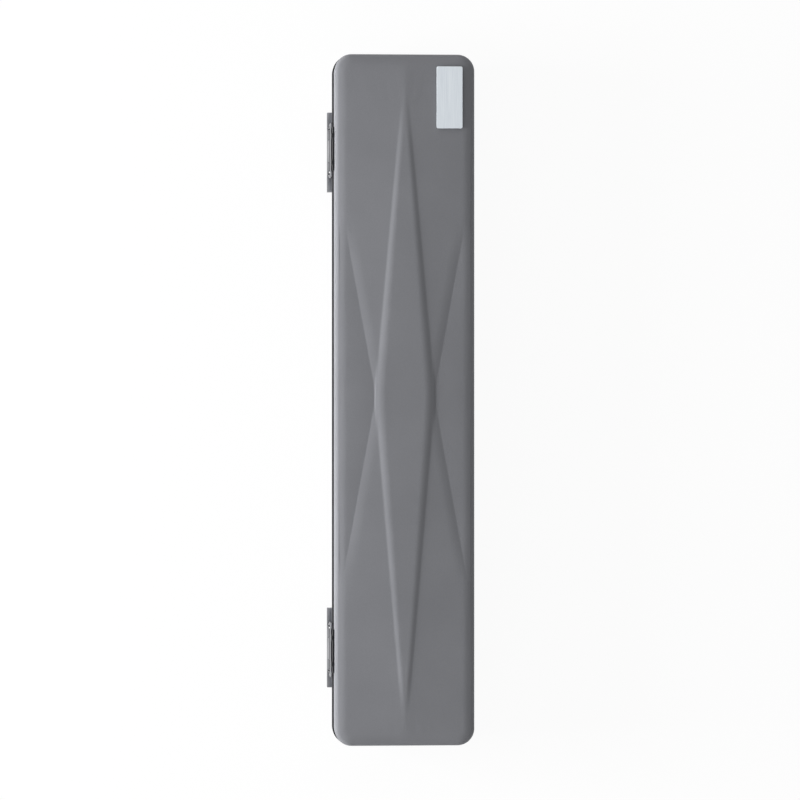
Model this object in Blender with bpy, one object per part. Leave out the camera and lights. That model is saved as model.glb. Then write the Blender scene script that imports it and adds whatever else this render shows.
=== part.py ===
"""Flute case with a moulded lid and base, two rear hinges and two draw latches in front.

Lengths are metres. X runs along the case, Y across it and Z up, and the latches face -Y.
The origin is the centre of the base's flat underside.
"""

import math

import bmesh
import bpy
from mathutils import Matrix, Vector

# Driving sizes of the case
CASE_LENGTH = 0.415
CASE_WIDTH = 0.0854
BASE_HEIGHT = 0.027
LID_HEIGHT = 0.0245
CORNER_RADIUS = 0.011
WALL = 0.003
FIT_GAP = 0.0003
CUT_OVERRUN = 0.002
CORNER_STEPS = 5
QUARTER_DEGREES = 90.0
EDGE_STEPS = 4
SMALLEST_RADIUS = 0.0005
SMOOTH_LIMIT_DEGREES = 35.0
MERGE_DISTANCE = 0.000002

# Mouldings
BASE_EDGE_RADIUS = 0.005
LID_EDGE_RADIUS = 0.0055
LID_CROWN = 0.0005
CROWN_SHARES = (0.0, 0.3, 0.6, 0.85)
LOZENGE_END_MARGIN = 0.0095
LOZENGE_HALF_WIDTH = 0.018
LOZENGE_FLANK = 0.008
LOZENGE_BLUNT = 0.0014
LOZENGE_HEIGHT = 0.0015
LOZENGE_SINK = 0.001
LOZENGE_FOOT_SINK = 0.0001
CREASE_LENGTH = 0.102
CREASE_INSET = 0.0012
CREASE_RUN_OUT = 0.0172
CREASE_HALF_WIDTH = 0.006
CREASE_DEPTH = 0.001

# Edge profiles round the two mouths
RIM_LEG = 0.0006
RIM_WEB = 0.0022
RIM_LEG_HEIGHT = 0.0022
TONGUE_WIDTH = 0.001
TONGUE_HEIGHT = 0.0012
TONGUE_REAR_STOP = 0.006

# Linings
LINING_GAP = 0.0012
INSERT_SINK = 0.0015
INSERT_TOP_EDGE = 0.0012
INSERT_BOTTOM_EDGE = 0.002
FRONT_LAND = 0.0034
RIB = 0.003
BODY_CHANNEL_LENGTH = 0.352
BODY_CHANNEL_WIDTH = 0.027
JOINT_CHANNEL_WIDTH = 0.0265
HEAD_CHANNEL_LENGTH = 0.228
FOOT_CHANNEL_LENGTH = 0.142
JOINT_RIB = 0.006
CHANNEL_DEPTH = 0.0195
CHANNEL_RADIUS = 0.008
ROD_CHANNEL_LENGTH = 0.345
ROD_CHANNEL_WIDTH = 0.0085
ROD_CHANNEL_DEPTH = 0.009
ROD_CHANNEL_RADIUS = 0.004
WELL_RADIUS = 0.016
WELL_DEPTH = 0.0075
WELL_PLACE = 0.062
WELL_SIDES = 32
LINING_WALL = 0.002
LINING_LIFT = 0.001
PAD_EDGE_RADIUS = 0.003
PAD_EDGE_THICKNESS = 0.0055
PAD_CROWN = 0.004
PAD_CROWN_SHARES = (0.12, 0.3, 0.55, 0.8)

# Nameplate on the lid
PLATE_LENGTH = 0.037
PLATE_WIDTH = 0.0155
PLATE_THICKNESS = 0.0008
PLATE_CORNER = 0.0006
PLATE_FROM_END = 0.027
PLATE_FROM_SIDE = 0.0161
PAD_TAPE_THICKNESS = 0.0005
PAD_TAPE_MARGIN = 0.001

# Rivets
RIVET_RADIUS = 0.0012
RIVET_HEAD_RADIUS = 0.0021
RIVET_HEAD_HEIGHT = 0.0004
RIVET_TAIL_RADIUS = 0.0018
RIVET_TAIL_HEIGHT = 0.0006
RIVET_SIDES = 12
HEAD_RISE_SHARES = (0.0, 0.6, 1.0)
HEAD_WIDTH_SHARES = (1.0, 0.8, 0.4)

# Rolled sheet parts
SHEET = 0.0008
PIN_CLEARANCE = 0.0001
CURL_DEGREES = 270.0
CURL_STEPS_PER_QUARTER = 5
PIN_SIDES = 16

# Rear hinges
HINGE_FROM_END = 0.0775
HINGE_LENGTH = 0.036
HINGE_KNUCKLES = 5
HINGE_INSET = 0.0018
HINGE_PIN_RADIUS = 0.00085
HINGE_LEAF_DROP = 0.015
HINGE_RIVET_DROP = 0.0105
HINGE_RIVET_SPREAD = 0.012
POCKET_DEPTH = 0.0025
LID_OPENING_DEGREES = 105.0
BEVEL_SPARE_DEGREES = 1.0

# Front latches
LATCH_FROM_END = 0.057
LATCH_PIN_RADIUS = 0.00065
LATCH_PIN_HALF_LENGTH = 0.0123
BRACKET_HALF_WIDTH = 0.0125
BRACKET_DROP = 0.0136
BRACKET_KNUCKLE_HALF = 0.0065
BRACKET_RIVET_DROP = 0.0095
LATCH_RIVET_SPREAD = 0.008
LEVER_HALF_WIDTH = 0.024
LEVER_NECK_HALF_WIDTH = 0.014
LEVER_DROP = 0.0145
LEVER_SHOULDER_DROP = 0.0065
LEVER_FLANGE_REACH = 0.0014
EAR_HALF_HEIGHT = 0.0016
EAR_REACH = 0.0006
EAR_LAP = 0.0004
BAIL_ARM_DROP = 0.004
BAIL_WIRE_RADIUS = 0.0006
BAIL_HALF_WIDTH = 0.0163
BAIL_BEND_RADIUS = 0.0016
BAIL_BEND_STEPS = 4
BAIL_SECTION_STEPS = 2
BAIL_STUB_SPARE = 0.0003
KEEPER_HALF_WIDTH = 0.013
KEEPER_RISE = 0.011
KEEPER_CURL_DEGREES = 125.0
KEEPER_RIVET_RISE = 0.0065

# Places worked out from the sizes above
HALF_LENGTH = CASE_LENGTH / 2
HALF_WIDTH = CASE_WIDTH / 2
LOZENGE_HALF_LENGTH = HALF_LENGTH - LOZENGE_END_MARGIN
HINGE_PLACE = HALF_LENGTH - HINGE_FROM_END
LATCH_PLACE = HALF_LENGTH - LATCH_FROM_END
PLATE_ALONG = HALF_LENGTH - PLATE_FROM_END
PLATE_ACROSS = HALF_WIDTH - PLATE_FROM_SIDE
PARTING_HALF_GAP = FIT_GAP / 2
SHELL_INSET = RIM_LEG + FIT_GAP
SHELL_FACE = HALF_WIDTH - SHELL_INSET
RIM_HEIGHT = PARTING_HALF_GAP + RIM_WEB + RIM_LEG_HEIGHT
RIM_WIDTH = SHELL_INSET + WALL + LINING_GAP - FIT_GAP
MOUTH_DROP = PARTING_HALF_GAP + RIM_WEB + FIT_GAP
LINING_INSET = SHELL_INSET + WALL + LINING_GAP
LID_TOP = BASE_HEIGHT + LID_HEIGHT
INSERT_TOP = BASE_HEIGHT - INSERT_SINK
INSERT_BOTTOM = WALL + FIT_GAP
HINGE_AXIS = Vector((0, HALF_WIDTH - HINGE_INSET, BASE_HEIGHT))
HINGE_BORE = HINGE_PIN_RADIUS + PIN_CLEARANCE
HINGE_KNUCKLE = HINGE_BORE + SHEET
LEAF_FACE = SHELL_INSET + WALL + FIT_GAP - HINGE_INSET
LEAF_BACK = LEAF_FACE + SHEET
HINGE_GRIP = WALL + FIT_GAP + SHEET
LATCH_BORE = LATCH_PIN_RADIUS + PIN_CLEARANCE
LATCH_KNUCKLE = LATCH_BORE + SHEET
LATCH_STAND = SHELL_FACE + FIT_GAP + LATCH_KNUCKLE
LATCH_GRIP = SHEET + FIT_GAP + WALL
PIN_HEIGHT = BASE_HEIGHT - RIM_HEIGHT - FIT_GAP - LATCH_KNUCKLE
HOOK_HEIGHT = BASE_HEIGHT + RIM_HEIGHT + FIT_GAP + LATCH_KNUCKLE
BAIL_FOOT_HEIGHT = PIN_HEIGHT - BAIL_ARM_DROP


def make_material(name, colour, roughness, metallic=0.0):
    """A Principled material in one colour."""
    material = bpy.data.materials.new(name)
    material.use_nodes = True
    shader = material.node_tree.nodes["Principled BSDF"]
    shader.inputs["Base Color"].default_value = (*colour, 1)
    shader.inputs["Roughness"].default_value = roughness
    shader.inputs["Metallic"].default_value = metallic
    material.diffuse_color = (*colour, 1)
    return material


def make_object(name, bm, material=None):
    """Turn a bmesh into an object with its faces pointing out."""
    bmesh.ops.recalc_face_normals(bm, faces=bm.faces)
    mesh = bpy.data.meshes.new(name)
    bm.to_mesh(mesh)
    bm.free()
    obj = bpy.data.objects.new(name, mesh)
    bpy.context.scene.collection.objects.link(obj)
    if material:
        mesh.materials.append(material)
    return obj


def rounded_ring(offset, height):
    """Points of the case's plan outline, moved inwards by offset, at one height."""
    radius = max(CORNER_RADIUS - offset, SMALLEST_RADIUS)
    corner_x = HALF_LENGTH - offset - radius
    corner_y = HALF_WIDTH - offset - radius
    points = []
    for quarter, (side_x, side_y) in enumerate(((1, 1), (-1, 1), (-1, -1), (1, -1))):
        for step in range(CORNER_STEPS + 1):
            angle = (quarter + step / CORNER_STEPS) * math.pi / 2
            points.append(Vector((side_x * corner_x + radius * math.cos(angle),
                                  side_y * corner_y + radius * math.sin(angle), height)))
    return points


def loft(bm, rings, closed=False):
    """Join rings of equal length, either into a closed loop or with a cap at each end."""
    loops = [[bm.verts.new(point) for point in ring] for ring in rings]
    pairs = list(zip(loops, loops[1:]))
    if closed:
        pairs.append((loops[-1], loops[0]))
    else:
        bm.faces.new(loops[0])
        bm.faces.new(loops[-1])
    for low, high in pairs:
        for index in range(len(low)):
            after = (index + 1) % len(low)
            bm.faces.new((low[index], low[after], high[after], high[index]))


def loft_object(name, rings, material=None, closed=False):
    bm = bmesh.new()
    loft(bm, rings, closed)
    return make_object(name, bm, material)


def case_loft(name, sections, material=None, closed=False):
    """A body whose sections are pairs of inward offset and height."""
    return loft_object(name, [rounded_ring(*pair) for pair in sections], material, closed)


def box(name, low, high, material=None):
    """A box between two corners."""
    corners = ((low[0], low[1]), (high[0], low[1]), (high[0], high[1]), (low[0], high[1]))
    rings = [[Vector((x, y, z)) for x, y in corners] for z in (low[2], high[2])]
    return loft_object(name, rings, material)


def prism(name, outline, start, end, material=None):
    """An outline of Y and Z pairs, carried along X from start to end."""
    rings = [[Vector((x, y, z)) for y, z in outline] for x in (start, end)]
    return loft_object(name, rings, material)


def turned(name, centre, axis, sections, sides, material=None):
    """A round body along an axis, from pairs of place along the axis and radius."""
    turn = Vector((0, 0, 1)).rotation_difference(axis).to_matrix().to_4x4()
    place = Matrix.Translation(centre) @ turn
    rings = []
    for along, radius in sections:
        rings.append([place @ Vector((radius * math.cos(index * math.tau / sides),
                                      radius * math.sin(index * math.tau / sides), along))
                      for index in range(sides)])
    return loft_object(name, rings, material)


def rod(name, centre, half_length, radius, material=None):
    """A round rod along X."""
    sections = ((-half_length, radius), (half_length, radius))
    return turned(name, centre, Vector((1, 0, 0)), sections, PIN_SIDES, material)


def combine(target, tool, operation="DIFFERENCE"):
    """Cut a tool from the target, or join it on, and remove the tool."""
    modifier = target.modifiers.new("Combine", "BOOLEAN")
    modifier.operation = operation
    modifier.solver = "EXACT"
    modifier.object = tool
    depsgraph = bpy.context.evaluated_depsgraph_get()
    mesh = bpy.data.meshes.new_from_object(target.evaluated_get(depsgraph))
    bm = bmesh.new()
    bm.from_mesh(mesh)
    bmesh.ops.remove_doubles(bm, verts=bm.verts, dist=MERGE_DISTANCE)
    bm.to_mesh(mesh)
    bm.free()
    target.modifiers.remove(modifier)
    target.data = mesh
    bpy.data.objects.remove(tool)


def put_origin(obj, point):
    """Move an object's origin to a point and leave its shape in place."""
    obj.data.transform(Matrix.Translation(-point))
    obj.location = point


def edge_arc(offset, floor, radius, upwards):
    """Sections round the edge between a wall and a floor, from the wall to the floor."""
    sections = []
    for step in range(EDGE_STEPS + 1):
        angle = step / EDGE_STEPS * math.pi / 2
        sections.append((offset + radius * (1 - math.cos(angle)),
                         floor + upwards * radius * (1 - math.sin(angle))))
    return sections


def crown_rise(offset):
    """Height of the lid's crown over its flat top at an inward offset."""
    start = SHELL_INSET + LID_EDGE_RADIUS
    share = min(max((offset - start) / (HALF_WIDTH - start), 0), 1)
    return LID_CROWN * (1 - (1 - share) ** 2)


def lozenge(name, lowered):
    """The lid's raised lozenge: flanks that rise from a long rhombus to a flat top."""
    plateau_width = LOZENGE_HALF_WIDTH - LOZENGE_FLANK
    plateau_length = plateau_width * LOZENGE_HALF_LENGTH / LOZENGE_HALF_WIDTH
    side_foot = LID_TOP + crown_rise(HALF_WIDTH - LOZENGE_HALF_WIDTH) - LOZENGE_FOOT_SINK
    tip_foot = LID_TOP + crown_rise(HALF_LENGTH - LOZENGE_HALF_LENGTH) - LOZENGE_FOOT_SINK
    plateau = LID_TOP + LID_CROWN + LOZENGE_HEIGHT
    sunk = LID_TOP - LOZENGE_SINK
    rings = []
    for length, width, tip, side in ((LOZENGE_HALF_LENGTH, LOZENGE_HALF_WIDTH, sunk, sunk),
                                     (LOZENGE_HALF_LENGTH, LOZENGE_HALF_WIDTH, tip_foot, side_foot),
                                     (plateau_length, plateau_width, plateau, plateau)):
        rings.append([Vector((length, 0, tip - lowered)), Vector((LOZENGE_BLUNT, width, side - lowered)),
                      Vector((-LOZENGE_BLUNT, width, side - lowered)), Vector((-length, 0, tip - lowered)),
                      Vector((-LOZENGE_BLUNT, -width, side - lowered)),
                      Vector((LOZENGE_BLUNT, -width, side - lowered))])
    return loft_object(name, rings)


def crease_cutter(side_x, side_y):
    """A shallow V that runs from under the lozenge's side corner out to the lid's edge, fading out."""
    start = Vector((-side_x * CUT_OVERRUN, side_y * (LOZENGE_HALF_WIDTH - CREASE_INSET), 0))
    end = Vector((side_x * CREASE_LENGTH, side_y * (LOZENGE_HALF_WIDTH + CREASE_RUN_OUT), 0))
    across = Vector((0, 0, 1)).cross(end - start).normalized()
    spread = across * CREASE_HALF_WIDTH * (1 + CUT_OVERRUN / CREASE_DEPTH)
    surface = LID_TOP + crown_rise(HALF_WIDTH - LOZENGE_HALF_WIDTH)
    rings = []
    for point, level in ((start, surface - CREASE_DEPTH), (end, surface)):
        bottom = point + Vector((0, 0, level))
        top = Vector((0, 0, CREASE_DEPTH + CUT_OVERRUN))
        rings.append([bottom, bottom + spread + top, bottom - spread + top])
    return loft_object("crease_cutter", rings)


def make_shells(plastic):
    """The two mouldings, each one wall thick, with its mouth towards the parting plane."""
    mouth = BASE_HEIGHT - MOUTH_DROP
    outer = edge_arc(SHELL_INSET, 0, BASE_EDGE_RADIUS, 1)
    inner = edge_arc(SHELL_INSET + WALL, WALL, BASE_EDGE_RADIUS - WALL, 1)
    sections = outer[::-1] + [(SHELL_INSET, mouth), (SHELL_INSET + WALL, mouth)] + inner
    base = case_loft("base_shell", sections, plastic)

    mouth = BASE_HEIGHT + MOUTH_DROP
    outer = edge_arc(SHELL_INSET, LID_TOP, LID_EDGE_RADIUS, -1)
    crown_start = SHELL_INSET + LID_EDGE_RADIUS
    for share in CROWN_SHARES[1:]:
        offset = crown_start + share * (HALF_WIDTH - crown_start)
        outer.append((offset, LID_TOP + crown_rise(offset)))
    inner = edge_arc(SHELL_INSET + WALL, LID_TOP - WALL, LID_EDGE_RADIUS - WALL, -1)
    sections = outer[::-1] + [(SHELL_INSET, mouth), (SHELL_INSET + WALL, mouth)] + inner
    lid = case_loft("lid_shell", sections, plastic)
    for side_y in (-1, 1):
        pair = crease_cutter(-1, side_y)
        combine(pair, crease_cutter(1, side_y), "UNION")
        combine(lid, pair)
    combine(lid, lozenge("lozenge_outside", 0), "UNION")
    combine(lid, lozenge("lozenge_inside", WALL + LID_CROWN))
    return base, lid


def rear_bevel(upwards):
    """A wedge behind the hinge axis, which lets the lid turn back over the base's rim."""
    reach = HINGE_INSET + CUT_OVERRUN
    angle = math.radians(LID_OPENING_DEGREES / 2 + BEVEL_SPARE_DEGREES)
    outline = [(0, 0), (reach, reach * math.tan(angle)), (reach, -CUT_OVERRUN), (0, -CUT_OVERRUN)]
    points = [(HINGE_AXIS.y + y, HINGE_AXIS.z + upwards * z) for y, z in outline]
    half = HALF_LENGTH + CUT_OVERRUN
    return prism("rear_bevel", points, -half, half)


def hinge_pocket(place):
    """The room for one hinge's knuckles, cut through both rims."""
    half = HINGE_LENGTH / 2 + FIT_GAP
    return box("hinge_pocket",
               (place - half, HALF_WIDTH - RIM_WIDTH - CUT_OVERRUN, BASE_HEIGHT - POCKET_DEPTH),
               (place + half, HALF_WIDTH + CUT_OVERRUN, BASE_HEIGHT + POCKET_DEPTH))


def make_rims(trim):
    """The edge profiles: the base's carries a locating tongue, and the lid's a rebate for it."""
    inner = RIM_WIDTH
    tongue = RIM_WIDTH - TONGUE_WIDTH
    low = BASE_HEIGHT - PARTING_HALF_GAP
    sections = [(0, low), (tongue, low), (tongue, low + TONGUE_HEIGHT), (inner, low + TONGUE_HEIGHT),
                (inner, low - RIM_WEB), (RIM_LEG, low - RIM_WEB),
                (RIM_LEG, low - RIM_WEB - RIM_LEG_HEIGHT), (0, low - RIM_WEB - RIM_LEG_HEIGHT)]
    base_rim = case_loft("base_rim", sections, trim, closed=True)
    half = HALF_LENGTH + CUT_OVERRUN
    combine(base_rim, box("tongue_stop", (-half, HINGE_AXIS.y - TONGUE_REAR_STOP, low),
                          (half, HALF_WIDTH + CUT_OVERRUN, low + TONGUE_HEIGHT + CUT_OVERRUN)))

    high = BASE_HEIGHT + PARTING_HALF_GAP
    rebate = tongue - FIT_GAP
    ceiling = high + TONGUE_HEIGHT + FIT_GAP
    sections = [(0, high), (0, high + RIM_WEB + RIM_LEG_HEIGHT),
                (RIM_LEG, high + RIM_WEB + RIM_LEG_HEIGHT), (RIM_LEG, high + RIM_WEB),
                (inner, high + RIM_WEB), (inner, ceiling), (rebate, ceiling), (rebate, high)]
    lid_rim = case_loft("lid_rim", sections, trim, closed=True)

    for rim, upwards in ((base_rim, -1), (lid_rim, 1)):
        combine(rim, rear_bevel(upwards))
        for place in (-HINGE_PLACE, HINGE_PLACE):
            combine(rim, hinge_pocket(place))
    return base_rim, lid_rim


def trough(name, length, centre_x, centre_y, width, depth, radius):
    """A cutter for one channel: a flat bottom, round lower corners and square ends."""
    bottom = INSERT_TOP - depth
    outline = [(centre_y + width / 2, INSERT_TOP + CUT_OVERRUN),
               (centre_y - width / 2, INSERT_TOP + CUT_OVERRUN)]
    for side in (-1, 1):
        arc = []
        for step in range(EDGE_STEPS + 1):
            angle = step / EDGE_STEPS * math.pi / 2
            arc.append((centre_y + side * (width / 2 - radius + radius * math.cos(angle)),
                        bottom + radius * (1 - math.sin(angle))))
        outline += arc if side < 0 else arc[::-1]
    return prism(name, outline, centre_x - length / 2, centre_x + length / 2)


def hinge_notch(place, low, high):
    """The room in a lining for one hinge leaf and its rivets, between two heights."""
    half = HINGE_LENGTH / 2 + FIT_GAP
    depth = LEAF_BACK + FIT_GAP + RIVET_TAIL_HEIGHT + FIT_GAP
    return box("hinge_notch", (place - half, HINGE_AXIS.y - depth, low),
               (place + half, HALF_WIDTH, high))


def make_insert(plush):
    """The base's fitted block, with channels for the three joints and the cleaning rod."""
    sections = [(LINING_INSET + INSERT_BOTTOM_EDGE, INSERT_BOTTOM),
                (LINING_INSET, INSERT_BOTTOM + INSERT_BOTTOM_EDGE),
                (LINING_INSET, INSERT_TOP - INSERT_TOP_EDGE),
                (LINING_INSET + INSERT_TOP_EDGE, INSERT_TOP)]
    insert = case_loft("base_insert", sections, plush)

    body_front = LINING_INSET - HALF_WIDTH + FRONT_LAND
    rod_front = body_front + BODY_CHANNEL_WIDTH + RIB
    joint_front = rod_front + ROD_CHANNEL_WIDTH + RIB
    joint_centre = joint_front + JOINT_CHANNEL_WIDTH / 2
    body_centre = body_front + BODY_CHANNEL_WIDTH / 2
    joint_start = -(HEAD_CHANNEL_LENGTH + JOINT_RIB + FOOT_CHANNEL_LENGTH) / 2
    foot_start = joint_start + HEAD_CHANNEL_LENGTH + JOINT_RIB
    combine(insert, trough("body_trough", BODY_CHANNEL_LENGTH, 0, body_centre,
                           BODY_CHANNEL_WIDTH, CHANNEL_DEPTH, CHANNEL_RADIUS))
    combine(insert, trough("rod_trough", ROD_CHANNEL_LENGTH, 0, rod_front + ROD_CHANNEL_WIDTH / 2,
                           ROD_CHANNEL_WIDTH, ROD_CHANNEL_DEPTH, ROD_CHANNEL_RADIUS))
    combine(insert, trough("head_trough", HEAD_CHANNEL_LENGTH, joint_start + HEAD_CHANNEL_LENGTH / 2,
                           joint_centre, JOINT_CHANNEL_WIDTH, CHANNEL_DEPTH, CHANNEL_RADIUS))
    combine(insert, trough("foot_trough", FOOT_CHANNEL_LENGTH, foot_start + FOOT_CHANNEL_LENGTH / 2,
                           joint_centre, JOINT_CHANNEL_WIDTH, CHANNEL_DEPTH, CHANNEL_RADIUS))
    well_half = (joint_centre - body_centre) / 2
    for side in (-1, 1):
        centre = Vector((side * WELL_PLACE, (body_centre + joint_centre) / 2,
                         INSERT_TOP - WELL_DEPTH + WELL_RADIUS))
        combine(insert, turned("finger_well", centre, Vector((0, 1, 0)),
                               ((-well_half, WELL_RADIUS), (well_half, WELL_RADIUS)), WELL_SIDES))
    for place in (-HINGE_PLACE, HINGE_PLACE):
        combine(insert, hinge_notch(place, BASE_HEIGHT - HINGE_LEAF_DROP - FIT_GAP,
                                    BASE_HEIGHT + CUT_OVERRUN))
    return insert


def make_lid_linings(plush):
    """The lid's plush: a thin lining round its walls, and a crowned pad under its ceiling."""
    ceiling = LID_TOP - WALL - FIT_GAP
    inside = LINING_INSET + LINING_WALL
    pad_edge = ceiling - PAD_EDGE_THICKNESS
    low = BASE_HEIGHT + LINING_LIFT
    high = pad_edge - FIT_GAP
    sections = [(LINING_INSET, low), (LINING_INSET, high), (inside, high), (inside, low)]
    lining = case_loft("lid_lining", sections, plush, closed=True)
    for place in (-HINGE_PLACE, HINGE_PLACE):
        combine(lining, hinge_notch(place, BASE_HEIGHT - CUT_OVERRUN, pad_edge))

    outer = edge_arc(LINING_INSET, ceiling, PAD_EDGE_RADIUS, -1)
    sections = outer[::-1] + [(LINING_INSET, pad_edge), (inside, pad_edge)]
    for share in PAD_CROWN_SHARES:
        offset = inside + share * (HALF_WIDTH - inside)
        sections.append((offset, pad_edge - PAD_CROWN * (1 - (1 - share) ** 2)))
    return lining, case_loft("lid_pad", sections, plush)


def make_nameplate(metal, tape):
    """A bare metal plate on a thin adhesive pad, laid along the lid's crown near one corner."""
    offset = HALF_WIDTH - PLATE_ACROSS
    slope = (crown_rise(offset + PLATE_WIDTH / 2) - crown_rise(offset - PLATE_WIDTH / 2)) / PLATE_WIDTH
    seat = LID_TOP + crown_rise(offset) + FIT_GAP
    pieces = []
    layers = (("nameplate_adhesive", PAD_TAPE_MARGIN, 0, PAD_TAPE_THICKNESS, tape),
              ("nameplate", 0, PAD_TAPE_THICKNESS + FIT_GAP, PLATE_THICKNESS, metal))
    for name, margin, low, thickness, material in layers:
        half_x = PLATE_LENGTH / 2 - margin
        half_y = PLATE_WIDTH / 2 - margin
        corner = PLATE_CORNER
        outline = [(half_x, half_y - corner), (half_x - corner, half_y),
                   (corner - half_x, half_y), (-half_x, half_y - corner),
                   (-half_x, corner - half_y), (corner - half_x, -half_y),
                   (half_x - corner, -half_y), (half_x, corner - half_y)]
        rings = [[Vector((x, y, z)) for x, y in outline] for z in (low, low + thickness)]
        piece = loft_object(name, rings, material)
        piece.location = (-PLATE_ALONG, PLATE_ACROSS, seat)
        piece.rotation_euler.x = -math.atan(slope)
        pieces.append(piece)
    return pieces


def rivet(name, seat, outward, grip, metal):
    """A rivet with its domed head on the seat and its tail behind the sheets that it grips."""
    tail = -grip - FIT_GAP
    sections = [(tail - RIVET_TAIL_HEIGHT, RIVET_TAIL_RADIUS), (tail, RIVET_TAIL_RADIUS),
                (tail, RIVET_RADIUS), (FIT_GAP, RIVET_RADIUS)]
    for rise, width in zip(HEAD_RISE_SHARES, HEAD_WIDTH_SHARES):
        sections.append((FIT_GAP + rise * RIVET_HEAD_HEIGHT, width * RIVET_HEAD_RADIUS))
    return turned(name, seat, outward, sections, RIVET_SIDES, metal)


def drill(parts, seat, outward, grip):
    """A rivet's hole through each of the parts that it grips."""
    for part in parts:
        reach = grip + CUT_OVERRUN
        sections = ((-reach, RIVET_RADIUS + FIT_GAP), (CUT_OVERRUN, RIVET_RADIUS + FIT_GAP))
        combine(part, turned("rivet_hole", seat, outward, sections, RIVET_SIDES))


def arc_points(radius, start_degrees, sweep_degrees):
    """Points on an arc round the origin, with a step for each share of a quarter turn."""
    steps = max(1, round(abs(sweep_degrees) / QUARTER_DEGREES * CURL_STEPS_PER_QUARTER))
    points = []
    for step in range(steps + 1):
        angle = math.radians(start_degrees + sweep_degrees * step / steps)
        points.append((radius * math.cos(angle), radius * math.sin(angle)))
    return points


def hinge_leaf_outline():
    """Section of a hinge leaf about its axis: a curl, a tab below it and the plate inside."""
    outer = arc_points(HINGE_KNUCKLE, -QUARTER_DEGREES, CURL_DEGREES)
    inner = arc_points(HINGE_BORE, 2 * QUARTER_DEGREES, -CURL_DEGREES)
    return ([(-LEAF_FACE, -HINGE_LEAF_DROP), (-LEAF_FACE, -HINGE_KNUCKLE)] + outer + inner
            + [(-LEAF_BACK, -HINGE_BORE), (-LEAF_BACK, -HINGE_LEAF_DROP)])


def make_hinge(side, place, shells, metal):
    """One rear hinge: two leaves with five knuckles between them, a pin and four rivets."""
    base_shell, lid_shell = shells
    pieces = {}
    start = place - HINGE_LENGTH / 2
    pitch = HINGE_LENGTH / HINGE_KNUCKLES
    reach = HINGE_KNUCKLE + FIT_GAP
    for half, shell, upwards, first_gap in (("base", base_shell, -1, 1), ("lid", lid_shell, 1, 0)):
        outline = [(HINGE_AXIS.y + y, HINGE_AXIS.z - upwards * z) for y, z in hinge_leaf_outline()]
        leaf = prism(f"hinge_{side}_{half}_leaf", outline, start, start + HINGE_LENGTH, metal)
        for knuckle in range(first_gap, HINGE_KNUCKLES, 2):
            gap_start = start + knuckle * pitch - PARTING_HALF_GAP
            gap_end = start + (knuckle + 1) * pitch + PARTING_HALF_GAP
            combine(leaf, box("knuckle_gap",
                              (gap_start, HINGE_AXIS.y - reach, HINGE_AXIS.z - reach),
                              (gap_end, HINGE_AXIS.y + reach, HINGE_AXIS.z + reach)))
        height = HINGE_AXIS.z + upwards * HINGE_RIVET_DROP
        for number, spread in enumerate((-HINGE_RIVET_SPREAD, HINGE_RIVET_SPREAD), start=1):
            seat = Vector((place + spread, SHELL_FACE, height))
            outward = Vector((0, 1, 0))
            drill((shell, leaf), seat, outward, HINGE_GRIP)
            name = f"hinge_{side}_{half}_rivet_{number}"
            pieces[name] = rivet(name, seat, outward, HINGE_GRIP, metal)
        pieces[leaf.name] = leaf
    pin_name = f"hinge_{side}_pin"
    centre = Vector((place, HINGE_AXIS.y, HINGE_AXIS.z))
    pieces[pin_name] = rod(pin_name, centre, HINGE_LENGTH / 2, HINGE_PIN_RADIUS, metal)
    return pieces


def rolled_outline(wrap_degrees, drop):
    """Section of a sheet that stands at one side of a pin and rolls over it."""
    outer = arc_points(LATCH_KNUCKLE, 2 * QUARTER_DEGREES, -wrap_degrees)
    inner = arc_points(LATCH_BORE, 2 * QUARTER_DEGREES - wrap_degrees, wrap_degrees)
    return [(-LATCH_KNUCKLE, -drop)] + outer + inner + [(-LATCH_BORE, -drop)]


def latch_sheet(name, place, half_width, height, outline, outwards, downwards, metal):
    """A rolled sheet at the front of the case, turned to face in or out, up or down."""
    points = [(-(LATCH_STAND + outwards * across), height + downwards * along)
              for across, along in outline]
    return prism(name, points, place - half_width, place + half_width, metal)


def front_box(place, start, end, stand, heights):
    """A box at the front of the case, from a latch's centre, its stand-off and two heights."""
    return box("front_box", (place + start, -(LATCH_STAND + stand[1]), heights[0]),
               (place + end, -(LATCH_STAND + stand[0]), heights[1]))


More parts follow.
